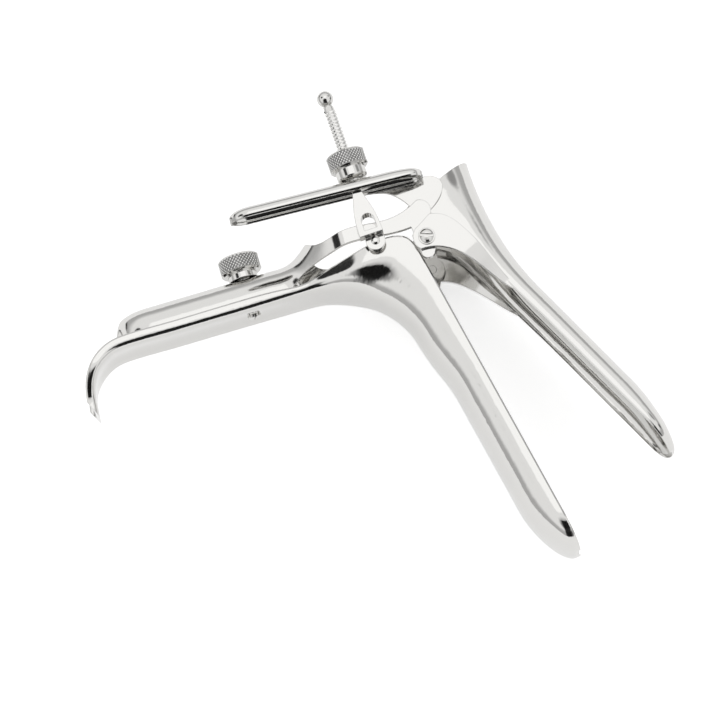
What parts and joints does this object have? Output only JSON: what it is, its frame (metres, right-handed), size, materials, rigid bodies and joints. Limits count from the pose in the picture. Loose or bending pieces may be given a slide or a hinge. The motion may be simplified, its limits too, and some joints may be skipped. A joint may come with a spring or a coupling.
{
  "type": "bivalve speculum",
  "caption": "Duck-bill examination speculum with a sliding frame on a hooked handle, a thumb lever and a screw-adjusted opening, in polished steel.",
  "frame": {"origin": "the middle of the underside of the whole part as it lies on its side", "axes": "+X along the lower blade towards its tip, +Y from the lower blade towards the upper one, +Z along the pivot axis towards the side with the lever"},
  "size_m": [0.1758, 0.1664, 0.0549],
  "materials": {
    "polished_steel": "polished",
    "knurled_steel": "knurled and satin"
  },
  "bodies": {
    "handle": {"lower_blade": "polished_steel", "threaded_boss": "polished_steel"},
    "frame": {"sliding_frame": "polished_steel", "swing_rivet": "polished_steel", "pivot_screw_near": "polished_steel", "pivot_screw_far": "polished_steel", "pivot_washer_near": "polished_steel", "pivot_washer_far": "polished_steel"},
    "blade": {"upper_blade": "polished_steel", "thumb_lever": "polished_steel"},
    "rod": {"swing_stirrup": "polished_steel", "adjusting_rod": "knurled_steel", "stop_ball": "polished_steel"},
    "nut": {"adjusting_nut": "knurled_steel"},
    "clamp": {"clamp_screw": "knurled_steel"}
  },
  "joints": [
    {"name": "frame_slide", "type": "slide", "parent": "handle", "child": "frame", "axis": [0.2011, 0.9796, 0], "range_m": [0, 0.018]},
    {"name": "upper_blade_hinge", "type": "hinge", "parent": "frame", "child": "blade", "pos_m": [-0.02701, 0.0421, 0.0244], "axis": [0, 0, 1], "range_deg": [-22, 0]},
    {"name": "rod_swing", "type": "hinge", "parent": "frame", "child": "rod", "pos_m": [-0.03391, 0.0264, 0.0244], "axis": [0, 0, 1], "range_deg": [-23.5, 0]},
    {"name": "nut_travel", "type": "slide", "parent": "rod", "child": "nut", "axis": [-0.9871, 0.1599, 0], "range_m": [0, 0.0075]},
    {"name": "clamp_turn", "type": "hinge", "parent": "handle", "child": "clamp", "pos_m": [-0.03556, -0.01974, 0.0244], "axis": [-0.9796, 0.2011, 0], "range_deg": [0, 360]}
  ],
  "couplings": [
    {"joint": "rod_swing", "follows": "upper_blade_hinge", "ratio": 1.04},
    {"joint": "nut_travel", "follows": "upper_blade_hinge", "m_per_rad": -0.0167}
  ]
}
